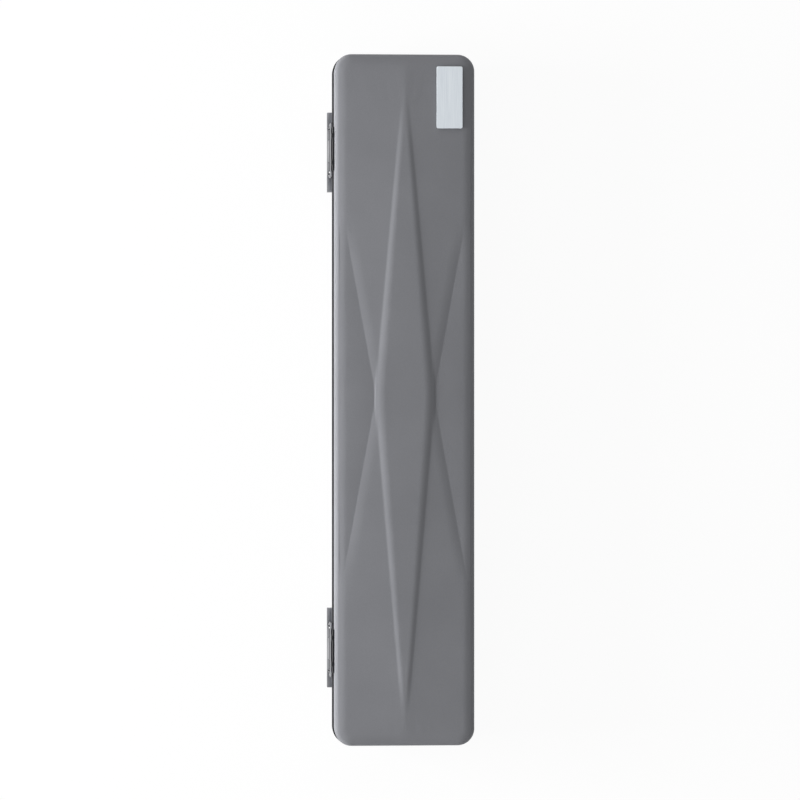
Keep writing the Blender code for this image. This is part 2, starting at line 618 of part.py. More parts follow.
def make_lever(name, place, metal):
    """The lever: a curl on its pin, a neck with two ears for the bail, and a thumb bar with its
    upper and end edges folded back."""
    lever = latch_sheet(name, place, LEVER_HALF_WIDTH, PIN_HEIGHT,
                        rolled_outline(CURL_DEGREES, LEVER_DROP), -1, 1, metal)
    reach = LATCH_KNUCKLE + FIT_GAP
    top = PIN_HEIGHT + reach
    full = (-reach, reach)
    gap = BRACKET_KNUCKLE_HALF + FIT_GAP
    combine(lever, front_box(place, -gap, gap, full, (PIN_HEIGHT - reach, top)))
    for side in (-1, 1):
        outside = side * (LEVER_HALF_WIDTH + CUT_OVERRUN)
        span = sorted((side * LATCH_PIN_HALF_LENGTH, outside))
        combine(lever, front_box(place, *span, full, (PIN_HEIGHT - reach, top)))
        span = sorted((side * LEVER_NECK_HALF_WIDTH, outside))
        combine(lever, front_box(place, *span, full, (PIN_HEIGHT - LEVER_SHOULDER_DROP, top)))
        span = sorted((side * (LEVER_NECK_HALF_WIDTH - SHEET), side * LEVER_NECK_HALF_WIDTH))
        ear = front_box(place, *span, (-LATCH_BORE - EAR_REACH, LATCH_BORE + EAR_LAP),
                        (BAIL_FOOT_HEIGHT - EAR_HALF_HEIGHT, BAIL_FOOT_HEIGHT + EAR_HALF_HEIGHT))
        combine(lever, ear, "UNION")
        folded = (-LEVER_FLANGE_REACH, LATCH_BORE + EAR_LAP)
        shoulder = PIN_HEIGHT - LEVER_SHOULDER_DROP
        span = sorted((side * (LEVER_NECK_HALF_WIDTH + SHEET), side * LEVER_HALF_WIDTH))
        combine(lever, front_box(place, *span, folded, (shoulder - SHEET, shoulder)), "UNION")
        span = sorted((side * (LEVER_HALF_WIDTH - SHEET), side * LEVER_HALF_WIDTH))
        combine(lever, front_box(place, *span, folded, (PIN_HEIGHT - LEVER_DROP, shoulder)), "UNION")
    centre = Vector((place, -LATCH_STAND, BAIL_FOOT_HEIGHT))
    combine(lever, rod("bail_hole", centre, LEVER_NECK_HALF_WIDTH + CUT_OVERRUN,
                       BAIL_WIRE_RADIUS + PIN_CLEARANCE))
    put_origin(lever, Vector((place, -LATCH_STAND, PIN_HEIGHT)))
    return lever


def bail_path():
    """Half of the bail's centre line as X and Z pairs, from its foot to the middle of its bar."""
    arm = BAIL_HALF_WIDTH - BAIL_WIRE_RADIUS
    foot = LEVER_NECK_HALF_WIDTH - SHEET - BAIL_STUB_SPARE
    bend = BAIL_BEND_RADIUS
    points = [(foot, BAIL_FOOT_HEIGHT)]
    for centre_z, first in ((BAIL_FOOT_HEIGHT + bend, -QUARTER_DEGREES), (HOOK_HEIGHT - bend, 0)):
        for step in range(BAIL_BEND_STEPS + 1):
            angle = math.radians(first + QUARTER_DEGREES * step / BAIL_BEND_STEPS)
            points.append((arm - bend + bend * math.cos(angle), centre_z + bend * math.sin(angle)))
    return points


def make_bail(name, place, metal):
    """The bail: one bent wire from ear to ear, over the keeper's hook."""
    half = bail_path()
    path = half + [(-x, z) for x, z in half[::-1]]
    curve = bpy.data.curves.new(name, "CURVE")
    curve.dimensions = "3D"
    curve.bevel_depth = BAIL_WIRE_RADIUS
    curve.bevel_resolution = BAIL_SECTION_STEPS
    curve.render_resolution_u = 0
    curve.use_fill_caps = True
    spline = curve.splines.new("POLY")
    spline.points.add(len(path) - 1)
    for point, (x, z) in zip(spline.points, path):
        point.co = (x, 0, z - BAIL_FOOT_HEIGHT, 1)
    curve.materials.append(metal)
    bail = bpy.data.objects.new(name, curve)
    bpy.context.scene.collection.objects.link(bail)
    bail.location = (place, -LATCH_STAND, BAIL_FOOT_HEIGHT)
    return bail


def make_latch(side, place, shells, metal):
    """One draw latch: bracket, pin, lever and bail on the base, and the keeper on the lid."""
    base_shell, lid_shell = shells
    outward = Vector((0, -1, 0))
    prefix = f"latch_{side}"
    pieces = {}

    bracket = latch_sheet(f"{prefix}_bracket", place, BRACKET_HALF_WIDTH, PIN_HEIGHT,
                          rolled_outline(CURL_DEGREES, BRACKET_DROP), 1, 1, metal)
    reach = LATCH_KNUCKLE + FIT_GAP
    for side_x in (-1, 1):
        span = sorted((side_x * BRACKET_KNUCKLE_HALF, side_x * (BRACKET_HALF_WIDTH + CUT_OVERRUN)))
        combine(bracket, front_box(place, *span, (-reach, reach),
                                   (PIN_HEIGHT - reach, PIN_HEIGHT + reach)))
    keeper = latch_sheet(f"{prefix}_keeper", place, KEEPER_HALF_WIDTH, HOOK_HEIGHT,
                         rolled_outline(KEEPER_CURL_DEGREES, KEEPER_RISE), 1, -1, metal)

    face = SHELL_FACE + FIT_GAP + SHEET
    for part, shell, height in ((bracket, base_shell, PIN_HEIGHT - BRACKET_RIVET_DROP),
                                (keeper, lid_shell, HOOK_HEIGHT + KEEPER_RIVET_RISE)):
        for number, spread in enumerate((-LATCH_RIVET_SPREAD, LATCH_RIVET_SPREAD), start=1):
            seat = Vector((place + spread, -face, height))
            drill((shell, part), seat, outward, LATCH_GRIP)
            name = f"{part.name}_rivet_{number}"
            pieces[name] = rivet(name, seat, outward, LATCH_GRIP, metal)
        pieces[part.name] = part

    centre = Vector((place, -LATCH_STAND, PIN_HEIGHT))
    pin_name = f"{prefix}_pin"
    pieces[pin_name] = rod(pin_name, centre, LATCH_PIN_HALF_LENGTH, LATCH_PIN_RADIUS, metal)
    pieces[f"{prefix}_lever"] = make_lever(f"{prefix}_lever", place, metal)
    pieces[f"{prefix}_bail"] = make_bail(f"{prefix}_bail", place, metal)
    return pieces


def hang_on_axis(name, point, pieces):
    """Parent the pieces to an empty on their joint's axis, where they stand."""
    axis = bpy.data.objects.new(name, None)
    bpy.context.scene.collection.objects.link(axis)
    axis.location = point
    for piece in pieces:
        piece.parent = axis
        piece.matrix_parent_inverse = Matrix.Translation(-point)


def smooth_round_pieces(pieces):
    """Shade round pieces smooth, with their edges kept sharp."""
    for piece in pieces:
        if piece.type == "MESH":
            piece.data.shade_smooth()
            piece.data.set_sharp_from_angle(angle=math.radians(SMOOTH_LIMIT_DEGREES))


def main():
    for obj in list(bpy.data.objects):
        bpy.data.objects.remove(obj)

    plastic = make_material("moulded_plastic", (0.19, 0.195, 0.21), 0.45)
    trim = make_material("dark_trim", (0.03, 0.03, 0.033), 0.5)
    plush = make_material("plush", (0.025, 0.028, 0.045), 0.95)
    nickel = make_material("nickel", (0.45, 0.45, 0.46), 0.3, 1.0)
    plate_metal = make_material("plate_metal", (0.62, 0.66, 0.7), 0.35, 0.8)
    tape = make_material("adhesive", (0.05, 0.05, 0.05), 0.9)

    shells = make_shells(plastic)
    base_shell, lid_shell = shells
    base_rim, lid_rim = make_rims(trim)
    make_insert(plush)
    lining, pad = make_lid_linings(plush)
    adhesive, plate = make_nameplate(plate_metal, tape)

    pieces = {}
    for side, way in (("left", -1), ("right", 1)):
        pieces.update(make_hinge(side, way * HINGE_PLACE, shells, nickel))
        pieces.update(make_latch(side, way * LATCH_PLACE, shells, nickel))

    on_lid = [piece for name, piece in pieces.items() if "_lid_" in name or "_keeper" in name]
    hang_on_axis("lid_axis", HINGE_AXIS, [lid_shell, lid_rim, lining, pad, adhesive, plate] + on_lid)
    smooth_round_pieces([base_shell, lid_shell, base_rim, lid_rim, lining, pad] + list(pieces.values()))


main()
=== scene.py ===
import math

import bmesh
import bpy
from mathutils import Matrix, Vector


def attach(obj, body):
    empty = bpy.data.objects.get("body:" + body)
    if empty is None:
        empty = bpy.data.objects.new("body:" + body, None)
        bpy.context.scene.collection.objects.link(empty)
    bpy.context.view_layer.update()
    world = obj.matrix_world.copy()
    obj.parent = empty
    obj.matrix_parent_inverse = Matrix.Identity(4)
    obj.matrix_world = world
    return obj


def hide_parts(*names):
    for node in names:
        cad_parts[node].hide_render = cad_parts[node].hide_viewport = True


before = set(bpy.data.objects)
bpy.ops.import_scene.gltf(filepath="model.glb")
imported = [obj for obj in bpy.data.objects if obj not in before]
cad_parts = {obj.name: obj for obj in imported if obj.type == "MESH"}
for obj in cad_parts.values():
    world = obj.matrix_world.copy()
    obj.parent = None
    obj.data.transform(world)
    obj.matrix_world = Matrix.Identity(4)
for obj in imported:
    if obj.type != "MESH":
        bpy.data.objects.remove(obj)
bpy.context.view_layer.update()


# BASE MOULDING
# The lower half of the case is one tray of moulded ABS with a 3 mm wall. It has round corners,
# a rounded bottom edge and a flat underside, and it is open at the top.
def linear(colour):
    """A linear colour from an sRGB hex value."""
    values = [int(colour[place:place + 2], 16) / 255 for place in (1, 3, 5)]
    return [v / 12.92 if v <= 0.04045 else ((v + 0.055) / 1.055) ** 2.4 for v in values] + [1.0]


def add_node(material, kind, settings=(), inputs=()):
    """Add a shader node: settings are its own choices, and inputs are values or other outputs."""
    tree = material.node_tree
    node = tree.nodes.new(kind)
    for name, value in dict(settings).items():
        setattr(node, name, value)
    for name, value in dict(inputs).items():
        if isinstance(value, bpy.types.NodeSocket):
            tree.links.new(value, node.inputs[name])
        else:
            node.inputs[name].default_value = value
    return node


def new_finish(name):
    """A material with its shader, and the coordinates of the piece that it is on."""
    material = bpy.data.materials.new(name)
    material.use_nodes = True
    shader = material.node_tree.nodes["Principled BSDF"]
    place = add_node(material, "ShaderNodeTexCoord").outputs["Object"]
    return material, shader, place


def set_socket(material, shader, name, value):
    """Set one of the shader's sockets to a value, or link an output to it."""
    if isinstance(value, bpy.types.NodeSocket):
        material.node_tree.links.new(value, shader.inputs[name])
    else:
        shader.inputs[name].default_value = value


def ramp(material, factor, stops):
    """Colours between stops, each a position and an sRGB hex value."""
    node = add_node(material, "ShaderNodeValToRGB", inputs={"Fac": factor})
    elements = node.color_ramp.elements
    while len(elements) < len(stops):
        elements.new(0.5)
    for element, (position, colour) in zip(elements, stops):
        element.position = position
        element.color = linear(colour)
    return node.outputs["Color"]


def pick(kind, test):
    """In edit mode, select only the faces, edges or vertices that pass the test."""
    bpy.ops.mesh.select_mode(type=kind)
    bpy.ops.mesh.select_all(action="DESELECT")
    mesh = bmesh.from_edit_mesh(bpy.context.object.data)
    for part in {"FACE": mesh.faces, "EDGE": mesh.edges, "VERT": mesh.verts}[kind]:
        if test(part):
            part.select_set(True)
    mesh.select_flush_mode()
    bmesh.update_edit_mesh(bpy.context.object.data)


def middle(part):
    """The middle of an edge or face."""
    return sum((corner.co for corner in part.verts), Vector()) / len(part.verts)


def add_block(name, low, high):
    """A block between two corners, in edit mode and with its place in its mesh."""
    if bpy.context.mode != "OBJECT":
        bpy.ops.object.mode_set(mode="OBJECT")
    bpy.ops.object.select_all(action="DESELECT")
    low, high = Vector(low), Vector(high)
    bpy.ops.mesh.primitive_cube_add(size=1, location=(low + high) / 2, scale=high - low)
    bpy.ops.object.transform_apply(location=True, rotation=True, scale=True)
    block = bpy.context.object
    block.name = name
    bpy.ops.object.mode_set(mode="EDIT")
    return block


def round_upright_edges(radius, segments):
    """Bevel the four upright edges of a block into its plan corners."""
    pick("EDGE", lambda edge: abs(edge.verts[0].co.z - edge.verts[1].co.z) > 0.0001
         and abs(edge.verts[0].co.x - edge.verts[1].co.x) < 0.0001)
    bpy.ops.mesh.bevel(offset=radius, segments=segments, affect="EDGES")


def pick_outline(height):
    """Select the edges round a block at one height."""
    pick("EDGE", lambda edge: all(abs(corner.co.z - height) < 0.00001 for corner in edge.verts)
         and any(abs(face.normal.z) < 0.5 for face in edge.link_faces))


def use_modifier(piece, kind, **settings):
    """Add a modifier to a piece and apply it."""
    bpy.ops.object.mode_set(mode="OBJECT")
    bpy.context.view_layer.objects.active = piece
    modifier = piece.modifiers.new(kind.title(), kind)
    for name, value in settings.items():
        setattr(modifier, name, value)
    bpy.ops.object.modifier_apply(modifier=modifier.name)


def smooth(piece, degrees=30.0):
    """Shade a piece smooth, with edges over the angle kept sharp."""
    bpy.ops.object.mode_set(mode="OBJECT")
    bpy.ops.object.select_all(action="DESELECT")
    piece.select_set(True)
    bpy.context.view_layer.objects.active = piece
    bpy.ops.object.shade_smooth_by_angle(angle=math.radians(degrees))


def dress(piece, finish, slot, body, *nodes):
    """Give a piece its material, and let it ride on its body in place of CAD nodes. The slot is not used.
    """
    piece.data.materials.clear()
    piece.data.materials.append(finish)
    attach(piece, body)
    if nodes:
        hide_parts(*nodes)


# ABS from a spark-eroded mould is satin and finely grained. Its tone drifts over 45 mm and is
# speckled at 0.7 mm, and its gloss drifts with its tone.
abs_plastic, shader, place = new_finish("moulded_abs_satin_grey")
cloud = add_node(abs_plastic, "ShaderNodeTexNoise",
                 inputs={"Vector": place, "Scale": 22.0, "Detail": 3.0})
speck = add_node(abs_plastic, "ShaderNodeTexNoise",
                 inputs={"Vector": place, "Scale": 1500.0, "Detail": 2.0})
blend = add_node(abs_plastic, "ShaderNodeMix", {"data_type": "FLOAT"},
                 {0: 0.35, 2: cloud.outputs[0], 3: speck.outputs[0]})
set_socket(abs_plastic, shader, "Base Color",
           ramp(abs_plastic, blend.outputs[0], ((0.3, "#717276"), (0.5, "#76777b"), (0.7, "#7b7c80"))))
gloss = add_node(abs_plastic, "ShaderNodeMapRange",
                 inputs={"Value": cloud.outputs[0], "From Min": 0.3, "From Max": 0.7,
                         "To Min": 0.56, "To Max": 0.66})
set_socket(abs_plastic, shader, "Roughness", gloss.outputs[0])
# The mould's grain is 0.3 mm, and is drawn at 0.6 mm so that it shows.
grain = add_node(abs_plastic, "ShaderNodeTexVoronoi", {"feature": "SMOOTH_F1"},
                 {"Vector": place, "Scale": 1600.0, "Smoothness": 0.8})
bump = add_node(abs_plastic, "ShaderNodeBump",
                inputs={"Height": grain.outputs["Distance"], "Strength": 0.10, "Distance": 0.0001})
set_socket(abs_plastic, shader, "Normal", bump.outputs[0])
set_socket(abs_plastic, shader, "IOR", 1.53)
set_socket(abs_plastic, shader, "Specular IOR Level", 0.35)

FACE_X = 0.2066
FACE_Y = 0.0418
CORNER = 0.0101
WALL = 0.003
BASE_MOUTH = 0.02435
BOTTOM_EDGE = 0.005

base_moulding = add_block("base_moulding", (-FACE_X, -FACE_Y, 0), (FACE_X, FACE_Y, BASE_MOUTH))
round_upright_edges(CORNER, 16)
pick_outline(0)
bpy.ops.mesh.bevel(offset=BOTTOM_EDGE, segments=8, affect="EDGES")
pick("FACE", lambda face: face.normal.z > 0.99 and middle(face).z > BASE_MOUTH - 0.0001)
bpy.ops.mesh.delete(type="FACE")
use_modifier(base_moulding, "SOLIDIFY", thickness=WALL, offset=-1.0, use_even_offset=True)
smooth(base_moulding)
dress(base_moulding, abs_plastic, "moulded_plastic", "base", "base_shell")


# BASE RIM
# A dark edge profile is pressed over the base's mouth. It has a leg outside the wall, a web
# over it and a locating tongue at the front and ends, and it is bevelled behind the hinge axis.
def add_ring_block(name, inset, low, high, radius):
    """A block with the case's plan outline, moved inwards, in edit mode."""
    block = add_block(name, (inset - HALF_X, inset - HALF_Y, low),
                      (HALF_X - inset, HALF_Y - inset, high))
    round_upright_edges(radius, 16)
    return block


def inset_faces(thickness):
    """Inset the picked faces, and keep their middle picked."""
    bpy.ops.mesh.inset(thickness=thickness, depth=0)


def push_faces(distance):
    """Extrude the picked faces up, or down where the distance is negative."""
    bpy.ops.mesh.extrude_region_move(TRANSFORM_OT_translate={"value": (0, 0, distance)})


def bridge_openings():
    """Join the two open edge loops of a ring with a wall."""
    bpy.ops.mesh.select_mode(type="EDGE")
    bpy.ops.mesh.select_all(action="DESELECT")
    bpy.ops.mesh.select_non_manifold()
    bpy.ops.mesh.bridge_edge_loops()
    bpy.ops.mesh.select_all(action="SELECT")
    bpy.ops.mesh.normals_make_consistent(inside=False)


def cut(piece, cutter, operation="DIFFERENCE"):
    """Cut a block from a piece, or join it on, and remove the block."""
    bpy.ops.object.mode_set(mode="OBJECT")
    use_modifier(piece, "BOOLEAN", operation=operation, solver="EXACT", object=cutter)
    bpy.data.objects.remove(cutter)


def add_rear_wedge(upwards):
    """The wedge behind the hinge axis that each rim is bevelled by."""
    wedge = add_block("rear_wedge", (-HALF_X - CLEAR, HINGE_Y, PARTING - CLEAR / 2),
                      (HALF_X + CLEAR, HALF_Y + CLEAR, PARTING + CLEAR / 2))
    mesh = bmesh.from_edit_mesh(wedge.data)
    for corner in mesh.verts:
        if (corner.co.z - PARTING) * upwards > 0:
            corner.co.z = PARTING + upwards * (corner.co.y - HINGE_Y) * math.tan(BEVEL_ANGLE)
    bmesh.update_edit_mesh(wedge.data)
    bpy.ops.mesh.select_all(action="SELECT")
    bpy.ops.mesh.remove_doubles(threshold=0.00001)
    bpy.ops.mesh.normals_make_consistent(inside=False)
    return wedge


def add_hinge_room(side, depth, height):
    """A block round one hinge, to cut room for it: depth is its front and rear, height its ends."""
    return add_block("hinge_room", (side * HINGE_X - HINGE_ROOM, depth[0], height[0]),
                     (side * HINGE_X + HINGE_ROOM, depth[1], height[1]))


def finish_rim(rim, upwards):
    """Bevel a rim behind the hinge axis, make room for the hinges and break its edges."""
    cut(rim, add_rear_wedge(upwards))
    for side in (-1, 1):
        cut(rim, add_hinge_room(side, RIM_ROOM_DEPTH, RIM_ROOM_HEIGHT))
    use_modifier(rim, "BEVEL", width=RIM_EDGE, segments=2, limit_method="ANGLE", angle_limit=SHARP)
    smooth(rim)


# Extruded polymer trim is nearly black and satin, with draw lines along it. They are 0.2 mm
# wide on the real one, and are drawn 1.1 mm wide so that they show.
trim_polymer, shader, place = new_finish("extruded_trim_near_black")
drawn = add_node(trim_polymer, "ShaderNodeMapping",
                 inputs={"Vector": place, "Scale": (12, 900, 900)})
lines = add_node(trim_polymer, "ShaderNodeTexNoise",
                 inputs={"Vector": drawn.outputs[0], "Scale": 1.0, "Detail": 3.0})
set_socket(trim_polymer, shader, "Base Color",
           ramp(trim_polymer, lines.outputs[0], ((0.3, "#19191b"), (0.7, "#242427"))))
set_socket(trim_polymer, shader, "Roughness", 0.5)
bump = add_node(trim_polymer, "ShaderNodeBump",
                inputs={"Height": lines.outputs[0], "Strength": 0.15, "Distance": 0.0001})
set_socket(trim_polymer, shader, "Normal", bump.outputs[0])

HALF_X = 0.2075
HALF_Y = 0.0427
PLAN_CORNER = 0.011
PARTING = 0.027
HINGE_X = 0.130
HINGE_Y = 0.0409
BEVEL_ANGLE = math.radians(53.5)
BASE_RIM_LOW = 0.02245
BASE_RIM_TOP = 0.02685
LEG = 0.0006
LEG_HEIGHT = 0.0022
WEB = 0.0042
TONGUE_INSET = 0.0038
TONGUE_HEIGHT = 0.0012
TONGUE = 0.001
TONGUE_END_Y = 0.0349
HINGE_ROOM = 0.0183
RIM_ROOM_DEPTH = (0.0359, 0.0447)
RIM_ROOM_HEIGHT = (PARTING - 0.0025, PARTING + 0.0025)
RIM_EDGE = 0.00018
SHARP = 0.6
CLEAR = 0.002

base_rim = add_ring_block("base_edge_profile", 0, BASE_RIM_LOW, BASE_RIM_TOP, PLAN_CORNER)
pick("FACE", lambda face: face.normal.z < -0.9)
inset_faces(LEG)
push_faces(LEG_HEIGHT)
inset_faces(WEB)
bpy.ops.mesh.delete(type="FACE")
pick("FACE", lambda face: face.normal.z > 0.9 and middle(face).z > BASE_RIM_TOP - 0.00005)
inset_faces(TONGUE_INSET)
push_faces(TONGUE_HEIGHT)
inset_faces(TONGUE)
bpy.ops.mesh.delete(type="FACE")
bridge_openings()
cut(base_rim, add_block("tongue_end", (-HALF_X, TONGUE_END_Y, BASE_RIM_TOP),
                        (HALF_X, HALF_Y + CLEAR, BASE_RIM_TOP + CLEAR)))
finish_rim(base_rim, -1)
dress(base_rim, trim_polymer, "dark_trim", "base", "base_rim")


# FITTED INSERT
# A moulded foam tray, covered all over in short plush, fills the base. It has channels for the
# body, head and foot joints and for the cleaning rod, and two finger wells across them.
# Short nylon pile is matt and dark, with a cool sheen at the edges of the view and paler where
# it is crushed, in patches of 26 mm. The 0.2 mm tufts are drawn at 1.1 mm so that they show.
plush, shader, place = new_finish("short_pile_plush_charcoal")
pile = add_node(plush, "ShaderNodeTexNoise",
                inputs={"Vector": place, "Scale": 900.0, "Detail": 4.0})
crush = add_node(plush, "ShaderNodeTexNoise",
                 inputs={"Vector": place, "Scale": 38.0, "Detail": 2.0})
shade = add_node(plush, "ShaderNodeMix", {"data_type": "FLOAT"},
                 {0: 0.3, 2: pile.outputs[0], 3: crush.outputs[0]})
set_socket(plush, shader, "Base Color",
           ramp(plush, shade.outputs[0], ((0.35, "#1e2029"), (0.5, "#2a2d38"), (0.68, "#3a3e4c"))))
set_socket(plush, shader, "Roughness", 0.95)
set_socket(plush, shader, "Sheen Weight", 0.3)
set_socket(plush, shader, "Sheen Roughness", 0.5)
set_socket(plush, shader, "Sheen Tint", linear("#7d8396"))
set_socket(plush, shader, "Specular IOR Level", 0.2)
bump = add_node(plush, "ShaderNodeBump",
                inputs={"Height": shade.outputs[0], "Strength": 0.5, "Distance": 0.0006})
set_socket(plush, shader, "Normal", bump.outputs[0])

LINING_INSET = 0.0051
SLIP = 0.0002
INSERT_LOW = 0.0033
INSERT_TOP = 0.0255
CHANNEL_LOW = 0.006
CHANNEL_RADIUS = 0.008
# Each channel's left and right end, front, rear, bottom, and the radius along its bottom: the
# body joint's, the cleaning rod's, the head joint's and the foot joint's
CHANNELS = ((-0.176, 0.176, -0.0342, -0.0072, CHANNEL_LOW, CHANNEL_RADIUS),
            (-0.1725, 0.1725, -0.0042, 0.0043, 0.0165, 0.004),
            (-0.188, 0.040, 0.0073, 0.0338, CHANNEL_LOW, CHANNEL_RADIUS),
            (0.046, 0.188, 0.0073, 0.0338, CHANNEL_LOW, CHANNEL_RADIUS))
WELL_X = 0.062
WELL_Y = -0.0001
WELL_Z = 0.034
WELL_RADIUS = 0.016
WELL_LENGTH = 0.0413
LEAF_ROOM_DEPTH = (0.0365, 0.045)
INSERT_ROOM_HEIGHT = (0.0117, 0.030)
PLUSH_GRID = 0.0014

insert = add_ring_block("fitted_insert", LINING_INSET + SLIP, INSERT_LOW, INSERT_TOP,
                        PLAN_CORNER - LINING_INSET)
for left, right, front, rear, bottom, radius in CHANNELS:
    channel = add_block("channel", (left, front, bottom), (right, rear, INSERT_TOP + 2 * CLEAR))
    pick("EDGE", lambda edge: all(abs(corner.co.z - bottom) < 0.00001 for corner in edge.verts)
         and abs(edge.verts[0].co.y - edge.verts[1].co.y) < 0.00001)
    bpy.ops.mesh.bevel(offset=radius * 0.98, segments=6, affect="EDGES")
    cut(insert, channel)
for side in (-1, 1):
    bpy.ops.mesh.primitive_cylinder_add(
        vertices=48, radius=WELL_RADIUS, depth=WELL_LENGTH, rotation=(math.pi / 2, 0, 0),
        location=(side * WELL_X, WELL_Y, WELL_Z))
    bpy.ops.object.transform_apply(location=True, rotation=True, scale=True)
    cut(insert, bpy.context.object)
    cut(insert, add_hinge_room(side, LEAF_ROOM_DEPTH, INSERT_ROOM_HEIGHT))
use_modifier(insert, "REMESH", mode="VOXEL", voxel_size=PLUSH_GRID)
use_modifier(insert, "SMOOTH", factor=0.5, iterations=5)
smooth(insert, 180.0)
dress(insert, plush, "plush", "base", "base_insert")


# LID MOULDING
# The upper half is moulded like the base, with one wall thickness all over. Its top falls very
# slightly from a ridge along the middle. A long flat lozenge is raised on it, and four V-shaped
# folds run from the lozenge's side corners to the long edges.
LID_MOUTH = 0.02965
LID_TOP = 0.0515
EDGE_RADIUS = 0.0035
EDGE_END_TILT = math.radians(16)
TAIL = 0.0046
RIDGE_RISE = 0.0018
RIDGE_SOFTNESS = 0.0012
RIDGE_END = 24
PATTERN_X = -0.0024
LOZENGE_X = 0.200
LOZENGE_LONG_X = 0.215
LOZENGE_BEND = 0.010
TIP_FADE = (0.140, 0.186)
LONG_TIP_FADE = (0.166, 0.191)
LOZENGE_Y = 0.0182
FLANK = 0.0058
FLANK_STRAIGHT = 0.0012
FLANK_TAPER = 0.66
LOZENGE_RISE = 0.00225
FOOT_SOFTNESS = 0.0002
FOLD_START_Y = 0.0174
FOLD_X = 0.102
FOLD_Y = 0.0184
FOLD_INSIDE = 0.006
FOLD_OUTSIDE = 0.016
FOLD_END = 0.103
LONG_FOLD_END = 0.111
FOLD_FADE = 10
FOLD_DEPTH = 0.0005
FOLD_SOFTNESS = 0.0002
FOLD_GAP = 0.001
EDGE_RING = 0.0015
# The flat top is cut along the pattern before it is raised, most closely where it will bend:
# these are the cuts' distances from the middle, along the lozenge's edges, across it and
# beside each fold, and the spacing of a plain grid.
EDGE_CUTS = (0.0, 0.003, 0.006, 0.009, 0.0105, 0.0116, 0.0126, 0.0135, 0.0144, 0.0152, 0.0159,
             0.0165, 0.017, 0.0174, 0.0178, 0.0182, 0.0186, 0.019, 0.0196, 0.0211, 0.0235, 0.027,
             0.031, 0.036, 0.042, 0.048, 0.054)
CROSS_CUTS = (0.0, 0.003, 0.0065, 0.011, 0.0165, 0.024, 0.0365)
FOLD_CUTS = (0.0, 0.0003, 0.0008, 0.0016, 0.0028, 0.0042, 0.006, 0.008)
GRID_X = 0.0215
GRID_Y = 0.0077


def soft_max(value, softness):
    """A value, or zero where it is negative, with a soft turn between the two."""
    return (value + math.sqrt(value * value + softness * softness)) / 2


def fold_distance(x, y):
    """How far a place on the lid is from the centre line of the nearest fold."""
    run = math.hypot(FOLD_X, FOLD_Y)
    return (abs(x) * FOLD_Y - (abs(y) - FOLD_START_Y) * FOLD_X) / run


def outline_distance(x, y):
    """How far inside the moulding's plan outline a place is."""
    past_x, past_y = abs(x) - (FACE_X - CORNER), abs(y) - (FACE_Y - CORNER)
    if past_x > 0 and past_y > 0:
        return CORNER - math.hypot(past_x, past_y)
    return CORNER - max(past_x, past_y)


def edge_height(distance):
    """The rounded edge: an arc down from near the top, and a long tail that ends level."""
    if distance < EDGE_INSET:
        return math.sqrt(EDGE_RADIUS ** 2 - (EDGE_RADIUS - distance) ** 2)
    run = min(distance - EDGE_INSET, TAIL)
    return EDGE_RADIUS * math.cos(EDGE_END_TILT) + math.tan(EDGE_END_TILT) * run * (1 - run / TAIL / 2)


def flank_share(distance, flank):
    """The share of the lozenge's rise: straight up its flank, and then rounded to its flat top."""
    bend = flank - FLANK_STRAIGHT
    over = min(max(distance - FLANK_STRAIGHT, 0), bend)
    rise = min(distance, FLANK_STRAIGHT) + over * (1 - over / bend / 2)
    return rise / (FLANK_STRAIGHT + bend / 2)


def lid_rise(x, y):
    """The height of the lid's top above its flat level at one place."""
    half_x, half_y = FACE_X - EDGE_INSET, FACE_Y - EDGE_INSET
    ridge = RIDGE_RISE * max(0, 1 - math.hypot(y, RIDGE_SOFTNESS) / half_y)
    ridge *= max(0, 1 - abs(x / half_x) ** RIDGE_END)
    x = x - PATTERN_X
    spine = math.sqrt(y * y + FOOT_SOFTNESS ** 2)
    length, (start, end) = (LOZENGE_LONG_X, LONG_TIP_FADE) if x > 0 else (LOZENGE_X, TIP_FADE)
    along = (math.hypot(x, LOZENGE_BEND) - LOZENGE_BEND) / length
    inside = LOZENGE_Y * (1 - LOZENGE_BEND / LOZENGE_X - along) - spine
    share = flank_share(soft_max(inside, 2 * FOOT_SOFTNESS), FLANK * (1 - FLANK_TAPER * along))
    tip = min(max((abs(x) - start) / (end - start), 0), 1)
    raised = (LOZENGE_RISE - ridge) * share * (1 - tip * tip * (3 - 2 * tip))
    fade = max(0, 1 - (x / (LONG_FOLD_END if x > 0 else FOLD_END)) ** FOLD_FADE)
    distance = fold_distance(x, y)
    off_line = math.hypot(distance, FOLD_SOFTNESS) - FOLD_SOFTNESS
    reach = FOLD_INSIDE if distance > 0 else FOLD_OUTSIDE
    outside = min(max(-inside / FOLD_GAP, 0), 1)
    fold = FOLD_DEPTH * fade * max(0, 1 - off_line / reach) ** 2 * outside
    return ridge + raised - fold


def is_lid_top(face):
    """Whether a face is part of the flat top."""
    return face.normal.z > 0.9999


EDGE_INSET = EDGE_RADIUS * (1 - math.sin(EDGE_END_TILT))
LID_SIDE = LID_TOP - edge_height(EDGE_INSET + TAIL)
BLOCK_TOP = LID_SIDE + EDGE_INSET
lid_moulding = add_block("lid_moulding", (-FACE_X, -FACE_Y, LID_MOUTH), (FACE_X, FACE_Y, BLOCK_TOP))
round_upright_edges(CORNER, 16)
pick_outline(BLOCK_TOP)
bpy.ops.mesh.bevel(offset=EDGE_INSET, segments=10, affect="EDGES")
pick("FACE", lambda face: face.normal.z < -0.99)
bpy.ops.mesh.delete(type="FACE")
pick("FACE", is_lid_top)
for ring in range(3):
    inset_faces(EDGE_RING)

